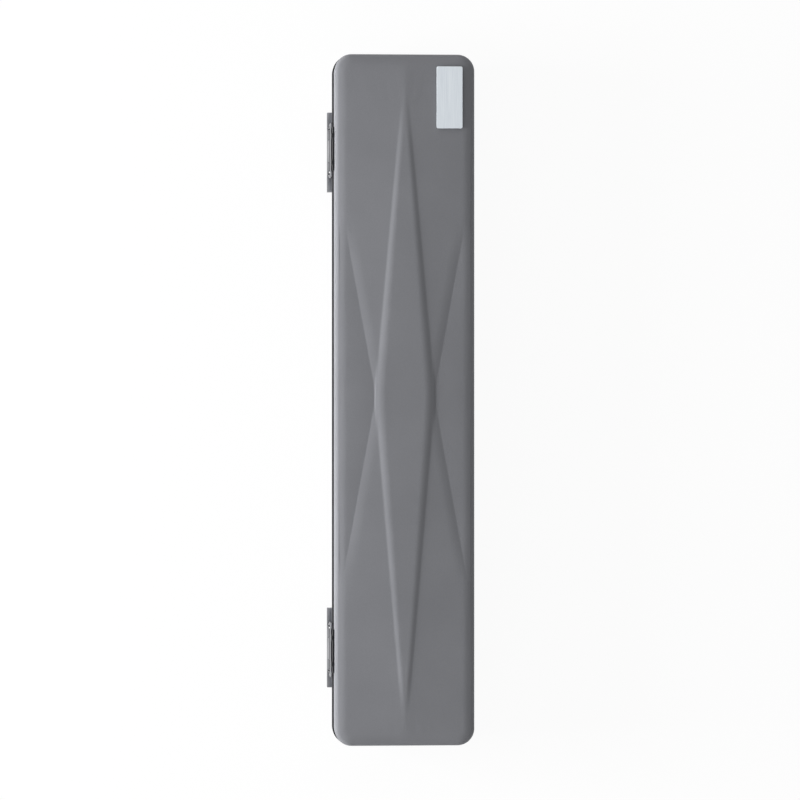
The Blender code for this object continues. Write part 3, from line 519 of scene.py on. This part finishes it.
cuts = []
for side in (-1, 1):
    for way in (-1, 1):
        length = LOZENGE_LONG_X if side * way > 0 else LOZENGE_X
        across = Vector((side * LOZENGE_Y, length, 0)).normalized()
        for distance in EDGE_CUTS if way < 0 else EDGE_CUTS[1:]:
            cuts.append((across * distance * way, across))
    for way in (-1, 1):
        across = Vector((-side * FOLD_Y, way * FOLD_X, 0)).normalized()
        for distance in FOLD_CUTS:
            for turn in (-1, 1) if distance else (1,):
                cuts.append((Vector((0, way * FOLD_START_Y, 0)) + across * distance * turn, across))
    for distance in CROSS_CUTS:
        cuts.append((Vector((side * distance, 0, 0)), Vector((1, 0, 0))))
for step in range(-9, 10):
    cuts.append((Vector((step * GRID_X, 0, 0)), Vector((1, 0, 0))))
for step in range(-4, 5):
    cuts.append((Vector((0, step * GRID_Y, 0)), Vector((0, 1, 0))))
for point, across in cuts:
    pick("FACE", is_lid_top)
    bpy.ops.mesh.bisect(plane_co=point + Vector((PATTERN_X, 0, 0)), plane_no=across)
pick("FACE", is_lid_top)
bpy.ops.mesh.remove_doubles(threshold=0.00008)
mesh = bmesh.from_edit_mesh(lid_moulding.data)
for corner in mesh.verts:
    x, y = corner.co.x, corner.co.y
    if corner.co.z > LID_SIDE + 0.00001:
        corner.co.z = LID_SIDE + edge_height(outline_distance(x, y)) + lid_rise(x, y)
bmesh.update_edit_mesh(lid_moulding.data)
use_modifier(lid_moulding, "SOLIDIFY", thickness=WALL, offset=-1.0, use_even_offset=False)
smooth(lid_moulding, 40.0)
dress(lid_moulding, abs_plastic, "moulded_plastic", "lid", "lid_shell")


# LID RIM
# The lid's edge profile is of the same trim as the base's and is pressed on turned over. Below
# it has a rebate, where the base's tongue goes in.
LID_RIM_LOW = 0.02715
LID_RIM_TOP = 0.03155
REBATE_INSET = 0.0035
REBATE_DEPTH = 0.0015
REBATE = 0.0013

lid_rim = add_ring_block("lid_edge_profile", 0, LID_RIM_LOW, LID_RIM_TOP, PLAN_CORNER)
pick("FACE", lambda face: face.normal.z > 0.9)
inset_faces(LEG)
push_faces(-LEG_HEIGHT)
inset_faces(WEB)
bpy.ops.mesh.delete(type="FACE")
pick("FACE", lambda face: face.normal.z < -0.9 and middle(face).z < LID_RIM_LOW + 0.00005)
inset_faces(REBATE_INSET)
push_faces(REBATE_DEPTH)
inset_faces(REBATE)
bpy.ops.mesh.delete(type="FACE")
bridge_openings()
finish_rim(lid_rim, 1)
dress(lid_rim, trim_polymer, "dark_trim", "lid", "lid_rim")


# LID LININGS
# A plush strip is glued round the lid's walls, and a plush-covered foam pad under its ceiling.
# The foam swells the pad between its glued edges, and a sewn piping runs round it.
def bend_wire(name, points, radius, closed=False):
    """A round wire or cord along points, as a mesh."""
    line = bpy.data.curves.new(name, "CURVE")
    line.dimensions = "3D"
    line.bevel_depth = radius
    line.bevel_resolution = 5
    line.use_fill_caps = not closed
    spline = line.splines.new("POLY")
    spline.points.add(len(points) - 1)
    spline.use_cyclic_u = closed
    for point, place in zip(spline.points, points):
        point.co = (*place, 1)
    wire = bpy.data.objects.new(name, line)
    bpy.context.scene.collection.objects.link(wire)
    bpy.ops.object.select_all(action="DESELECT")
    wire.select_set(True)
    bpy.context.view_layer.objects.active = wire
    bpy.ops.object.convert(target="MESH")
    smooth(wire, 60.0)
    return wire


LINING_LOW = 0.028
LINING_TOP = 0.0423
LINING = 0.002
LINING_EDGE = 0.0005
LINING_ROOM_HEIGHT = (0.025, 0.0435)

lining = add_ring_block("lid_wall_lining", LINING_INSET, LINING_LOW, LINING_TOP,
                        PLAN_CORNER - LINING_INSET)
pick("FACE", lambda face: abs(face.normal.z) > 0.9)
bpy.ops.mesh.delete(type="FACE")
use_modifier(lining, "SOLIDIFY", thickness=LINING, offset=-1.0, use_even_offset=True)
for side in (-1, 1):
    cut(lining, add_hinge_room(side, LEAF_ROOM_DEPTH, LINING_ROOM_HEIGHT))
use_modifier(lining, "BEVEL", width=LINING_EDGE, segments=3, limit_method="ANGLE", angle_limit=SHARP)
smooth(lining, 50.0)
dress(lining, plush, "plush", "lid", "lid_lining")

PAD_TOP = 0.0474
PAD_EDGE = 0.0429
PAD_LOW = 0.0389
PAD_GRID = 0.004
PAD_PRESSURE = 4.0
PAD_MOVE = 0.005
PAD_SLOPE = 0.03
SWELL_SHARE = 0.3


def edge_freedom(distance):
    """How freely the pad swells at a distance from one edge: not at all there, and fully past its slope."""
    freedom = min(max(distance / PAD_SLOPE, 0), 1)
    return freedom * (2 - freedom)


pad = add_ring_block("padded_lid_ceiling", LINING_INSET + SLIP, PAD_EDGE, PAD_TOP,
                     PLAN_CORNER - LINING_INSET)
use_modifier(pad, "REMESH", mode="VOXEL", voxel_size=PAD_GRID)
flat = [corner.co.copy() for corner in pad.data.vertices]
for corner in pad.data.vertices:
    corner.co.z = max(corner.co.z, PAD_EDGE)
bpy.ops.object.select_all(action="DESELECT")
pad.select_set(True)
bpy.context.view_layer.objects.active = pad
swell = pad.modifiers.new("Swell", "CLOTH")
swell.settings.use_pressure = True
swell.settings.uniform_pressure_force = PAD_PRESSURE
swell.settings.effector_weights.gravity = 0.0
for moment in range(1, 21):
    bpy.context.scene.frame_set(moment)
bpy.ops.object.modifier_apply(modifier=swell.name)
# The glued edges stay where they are, and the swell is mixed with an even crown.
pad_x, pad_y = HALF_X - LINING_INSET, HALF_Y - LINING_INSET
for corner, start in zip(pad.data.vertices, flat):
    freedom = edge_freedom(pad_x - abs(start.x)) * edge_freedom(pad_y - abs(start.y))
    move = corner.co - start
    if move.length > PAD_MOVE:
        move *= PAD_MOVE / move.length
    corner.co = start + Vector((move.x * freedom, move.y * freedom, move.z))
    if start.z < (PAD_EDGE + PAD_TOP) / 2:
        crown = PAD_EDGE - freedom * (PAD_EDGE - PAD_LOW)
        swollen = min(corner.co.z, PAD_EDGE)
        corner.co.z = max(swollen * SWELL_SHARE + crown * (1 - SWELL_SHARE), PAD_LOW)
    corner.co.z = min(corner.co.z, PAD_TOP)
    corner.co.x = max(min(corner.co.x, pad_x), -pad_x)
    corner.co.y = max(min(corner.co.y, pad_y), -pad_y)
use_modifier(pad, "SUBSURF", levels=1, render_levels=1)
smooth(pad, 180.0)
dress(pad, plush, "plush", "lid", "lid_pad")

PIPING_INSET = 0.0077
PIPING_CORNER = 0.005
CURVE_STEPS = 8
PIPING_Z = 0.0424
PIPING = 0.0007
corner_x = HALF_X - PIPING_INSET - PIPING_CORNER
corner_y = HALF_Y - PIPING_INSET - PIPING_CORNER
points = []
for quarter, (way_x, way_y) in enumerate(((1, 1), (-1, 1), (-1, -1), (1, -1))):
    for step in range(CURVE_STEPS + 1):
        angle = math.radians(90 * (quarter + step / CURVE_STEPS))
        points.append(Vector((way_x * corner_x + PIPING_CORNER * math.cos(angle),
                              way_y * corner_y + PIPING_CORNER * math.sin(angle), PIPING_Z)))
piping = bend_wire("lid_pad_piping", points, PIPING, closed=True)
dress(piping, plush, "plush", "lid", "lid_pad")


# REAR HINGES
# Each hinge is two pressed steel leaves, rolled round a pin into five knuckles. The leaves are
# inside the walls, and each is held by two rivets with low heads outside.

# Satin nickel is a pale, blurred mirror. Its gloss is smudged over 8 mm, and the drawing of the
# sheet leaves fine lines, which are 0.1 mm wide and are drawn 0.3 mm wide so that they show.
nickel, shader, place = new_finish("satin_nickel_plated_steel")
smudge = add_node(nickel, "ShaderNodeTexNoise",
                  inputs={"Vector": place, "Scale": 120.0, "Detail": 3.0})
set_socket(nickel, shader, "Base Color",
           ramp(nickel, smudge.outputs[0], ((0.35, "#a9aaad"), (0.65, "#b9babd"))))
set_socket(nickel, shader, "Metallic", 1.0)
gloss = add_node(nickel, "ShaderNodeMapRange",
                 inputs={"Value": smudge.outputs[0], "From Min": 0.3, "From Max": 0.7,
                         "To Min": 0.42, "To Max": 0.54})
set_socket(nickel, shader, "Roughness", gloss.outputs[0])
drawn = add_node(nickel, "ShaderNodeMapping",
                 inputs={"Vector": place, "Scale": (40, 3000, 3000)})
lines = add_node(nickel, "ShaderNodeTexNoise",
                 inputs={"Vector": drawn.outputs[0], "Scale": 1.0, "Detail": 2.0})
bump = add_node(nickel, "ShaderNodeBump",
                inputs={"Height": lines.outputs[0], "Strength": 0.06, "Distance": 0.00005})
set_socket(nickel, shader, "Normal", bump.outputs[0])


STAMPED_EDGE = 0.00012
PIN_EDGE = 0.0002


def refine(node, name, edge=STAMPED_EDGE):
    """A copy of a CAD node with its triangles merged and its edges rounded."""
    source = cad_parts[node]
    copy = bpy.data.objects.new(name, source.data.copy())
    bpy.context.scene.collection.objects.link(copy)
    bpy.ops.object.select_all(action="DESELECT")
    copy.select_set(True)
    bpy.context.view_layer.objects.active = copy
    bpy.ops.object.mode_set(mode="EDIT")
    bpy.ops.mesh.select_all(action="SELECT")
    bpy.ops.mesh.remove_doubles(threshold=0.000002)
    bpy.ops.mesh.dissolve_limited(angle_limit=0.01)
    use_modifier(copy, "BEVEL", width=edge, segments=2, limit_method="ANGLE", angle_limit=SHARP)
    smooth(copy)
    return copy


def copy_piece(piece, name, shift):
    """Another of the same piece, with its own mesh, at its own place."""
    twin = bpy.data.objects.new(name, piece.data.copy())
    twin.data.transform(Matrix.Translation(shift))
    bpy.context.scene.collection.objects.link(twin)
    return twin


for side in ("left", "right"):
    for half, body in (("base", "base"), ("lid", "lid")):
        leaf = refine(f"hinge_{side}_{half}_leaf", f"{side}_hinge_{half}_leaf")
        dress(leaf, nickel, "nickel", body, f"hinge_{side}_{half}_leaf")
    pin = refine(f"hinge_{side}_pin", f"{side}_hinge_pin", PIN_EDGE)
    dress(pin, nickel, "nickel", "base", f"hinge_{side}_pin")


# FRONT LATCHES
# Each latch is pressed from steel sheet: a rolled bracket riveted to the base, a T-shaped lever
# on its pin, a wire bail that turns in the lever's ears, and a hooked keeper riveted to the lid.

# Black nickel is a grey, half-dull mirror and blackened steel a nearly black one. The keepers'
# blackened steel is also kept this dark as painted shade, for the shaded strip between bail and lid.
# Both have faint smudges of 7 mm, so that no face reads as one flat tone.
dark_metals = []
for name, dark, light, roughness in (("black_nickel_plated_steel", "#8a8b8f", "#999a9e", 0.46),
                                     ("blackened_steel_and_painted_shade", "#2e2f31", "#3c3d40", 0.42)):
    metal, shader, place = new_finish(name)
    smudge = add_node(metal, "ShaderNodeTexNoise",
                      inputs={"Vector": place, "Scale": 150.0, "Detail": 3.0})
    set_socket(metal, shader, "Base Color",
               ramp(metal, smudge.outputs[0], ((0.35, dark), (0.65, light))))
    set_socket(metal, shader, "Metallic", 1.0)
    set_socket(metal, shader, "Roughness", roughness)
    dark_metals.append(metal)
black_nickel, blackened_shade_steel = dark_metals

LATCH_X = 0.1505
LATCH_Y = -0.04365
LATCH_EDGE = 0.00015
for side in ("left", "right"):
    # The keepers' blackened steel is partly painted shade for the strip between bail and lid.
    for part, body, metal in (("bracket", "base", nickel), ("keeper", "lid", blackened_shade_steel)):
        piece = refine(f"latch_{side}_{part}", f"{side}_latch_{part}")
        dress(piece, metal, "nickel", body, f"latch_{side}_{part}")
    pin = refine(f"latch_{side}_pin", f"{side}_latch_pin", LATCH_EDGE)
    dress(pin, nickel, "nickel", "base", f"latch_{side}_pin")
    lever = refine(f"latch_{side}_lever", f"{side}_latch_lever", LATCH_EDGE)
    dress(lever, black_nickel, "nickel", f"latch_{side}_lever", f"latch_{side}_lever")

# The bail is bent from one wire, and its two ends turn inwards into the lever's ears.
WIRE = 0.0006
BAIL_END = 0.0129
BAIL_HALF = 0.0157
BAIL_FOOT = 0.0166
BAIL_TOP = 0.0334
BEND = 0.0016
points = [Vector((BAIL_END, 0, BAIL_FOOT))]
for middle_z, first in ((BAIL_FOOT + BEND, -90), (BAIL_TOP - BEND, 0)):
    for step in range(CURVE_STEPS + 1):
        angle = math.radians(first + 90 * step / CURVE_STEPS)
        points.append(Vector((BAIL_HALF - BEND + BEND * math.cos(angle), 0,
                              middle_z + BEND * math.sin(angle))))
points += [Vector((-point.x, 0, point.z)) for point in points[::-1]]
bail = bend_wire("bail_wire", points, WIRE)
for side, way in (("left", -1), ("right", 1)):
    wire = copy_piece(bail, f"{side}_latch_bail", (way * LATCH_X, LATCH_Y, 0))
    dress(wire, nickel, "nickel", f"latch_{side}_bail", f"latch_{side}_bail")
bpy.data.objects.remove(bail)


# NAMEPLATE
# The plate is stamped from brushed aluminium sheet, left bare, and its edges are broken. It is
# held to the lid by a thin pad of black foam tape.

# Brushed aluminium under clear lacquer looks pale from every side, so it is only partly a
# mirror. Its brush lines are 0.1 mm wide, and are drawn 0.25 mm wide so that they show.
aluminium, shader, place = new_finish("brushed_aluminium")
drawn = add_node(aluminium, "ShaderNodeMapping",
                 inputs={"Vector": place, "Scale": (60, 4000, 4000)})
lines = add_node(aluminium, "ShaderNodeTexNoise",
                 inputs={"Vector": drawn.outputs[0], "Scale": 1.0, "Detail": 3.0})
set_socket(aluminium, shader, "Base Color",
           ramp(aluminium, lines.outputs[0], ((0.3, "#d0d7de"), (0.7, "#dfe5ea"))))
set_socket(aluminium, shader, "Metallic", 0.35)
set_socket(aluminium, shader, "Roughness", 0.5)
bump = add_node(aluminium, "ShaderNodeBump",
                inputs={"Height": lines.outputs[0], "Strength": 0.1, "Distance": 0.00005})
set_socket(aluminium, shader, "Normal", bump.outputs[0])

# Black foam tape is matt, with open cells of 0.4 mm.
tape, shader, place = new_finish("foam_tape_black")
foam = add_node(tape, "ShaderNodeTexNoise",
                inputs={"Vector": place, "Scale": 2500.0, "Detail": 2.0})
set_socket(tape, shader, "Base Color",
           ramp(tape, foam.outputs[0], ((0.3, "#202022"), (0.7, "#343437"))))
set_socket(tape, shader, "Roughness", 0.9)

PLATE_EDGE = 0.00015
TAPE_EDGE = 0.00005
plate = refine("nameplate", "bare_nameplate", PLATE_EDGE)
dress(plate, aluminium, "plate_metal", "lid", "nameplate")
pad_tape = refine("nameplate_adhesive", "nameplate_tape", TAPE_EDGE)
dress(pad_tape, tape, "adhesive", "lid", "nameplate_adhesive")


# RIVETS
# Sixteen steel rivets with low domed heads go through the walls and hold the hinges and
# latches. Each is plated or blackened like the part that it holds, and the keepers' dark rivets
# are partly painted shade, like the keepers.
HEAD_EDGE = 0.0001
for side in ("left", "right"):
    for part, body, metal in ((f"hinge_{side}_base", "base", nickel),
                              (f"hinge_{side}_lid", "lid", nickel),
                              (f"latch_{side}_bracket", "base", nickel),
                              (f"latch_{side}_keeper", "lid", blackened_shade_steel)):
        for number in (1, 2):
            node = f"{part}_rivet_{number}"
            head = refine(node, node + "_head", HEAD_EDGE)
            dress(head, metal, "nickel", body, node)


# STAGE
# A plain pale floor, a pale room and three soft lamps, and a camera nearly straight above the
# case, which leans slightly to the latch side.
FLOOR_Z = -0.0001
FLOOR_SIZE = 12
FLOOR_GLOW = 0.94
ROOM_LIGHT = 0.35


def sees_room(owner):
    """1 for a ray from the camera, off gloss or through glass, which meets the pale room, or else 0."""
    rays = add_node(owner, "ShaderNodeLightPath")
    seen = rays.outputs["Is Camera Ray"]
    for name in ("Is Glossy Ray", "Is Transmission Ray"):
        seen = add_node(owner, "ShaderNodeMath", {"operation": "MAXIMUM"},
                        {0: seen, 1: rays.outputs[name]}).outputs[0]
    return seen


# Matt white paint scatters the lamps evenly, and its glow where it is seen turns it nearly white.
floor_finish, shader, place = new_finish("plain_pale_floor")
set_socket(floor_finish, shader, "Base Color", linear("#f4f4f4"))
set_socket(floor_finish, shader, "Roughness", 0.9)
amount = add_node(floor_finish, "ShaderNodeMath", {"operation": "MULTIPLY"},
                  {0: sees_room(floor_finish), 1: FLOOR_GLOW})
glow = add_node(floor_finish, "ShaderNodeEmission", inputs={"Color": (1, 1, 1, 1), "Strength": 1.0})
mixed = add_node(floor_finish, "ShaderNodeMixShader",
                 inputs={0: amount.outputs[0], 1: shader.outputs[0], 2: glow.outputs[0]})
floor_finish.node_tree.links.new(
    mixed.outputs[0], floor_finish.node_tree.nodes["Material Output"].inputs["Surface"])
bpy.ops.object.select_all(action="DESELECT")
bpy.ops.mesh.primitive_plane_add(size=FLOOR_SIZE, location=(0, 0, FLOOR_Z))
floor = bpy.context.object
floor.name = "floor"
floor.data.materials.append(floor_finish)

world = bpy.data.worlds.new("studio")
bpy.context.scene.world = world
world.use_nodes = True
back = world.node_tree.nodes["Background"]
level = add_node(world, "ShaderNodeMapRange",
                 inputs={"Value": sees_room(world), "To Min": ROOM_LIGHT, "To Max": 1.0})
world.node_tree.links.new(level.outputs[0], back.inputs["Strength"])
back.inputs["Color"].default_value = (1, 1, 1, 1)


def add_softbox(name, place, size, power):
    """A square lamp that faces the case. Glossy surfaces mirror the pale room, and not the lamp."""
    lamp = bpy.data.lights.new(name, "AREA")
    lamp.shape = "SQUARE"
    lamp.size = size
    lamp.energy = power
    box = bpy.data.objects.new(name, lamp)
    bpy.context.scene.collection.objects.link(box)
    box.location = place
    box.rotation_euler = (-Vector(place)).to_track_quat("-Z", "Y").to_euler()
    box.visible_glossy = False


add_softbox("latch_side_softbox", place=(0, -1.45, 0.39), size=0.7, power=46)
for side in (-1, 1):
    add_softbox("end_softbox", place=(side * 1.6, -0.4, 0.7), size=1.0, power=6)

CAMERA_DISTANCE = 2.0
CAMERA_LEAN = math.radians(3.0)
VIEW_WIDTH = 0.48248
AIM = Vector((0.0, -0.0018, 0.03))
lens = bpy.data.cameras.new("camera")
lens.sensor_width = 36
lens.lens = lens.sensor_width * CAMERA_DISTANCE / VIEW_WIDTH
camera = bpy.data.objects.new("camera", lens)
bpy.context.scene.collection.objects.link(camera)
right = Vector((0, math.cos(CAMERA_LEAN), math.sin(CAMERA_LEAN)))
up = Vector((-1, 0, 0))
backwards = Vector((0, -math.sin(CAMERA_LEAN), math.cos(CAMERA_LEAN)))
turn = Matrix((right, up, backwards)).transposed().to_4x4()
camera.matrix_world = Matrix.Translation(AIM + backwards * CAMERA_DISTANCE) @ turn
bpy.context.scene.camera = camera

bpy.context.scene.view_settings.view_transform = "Standard"
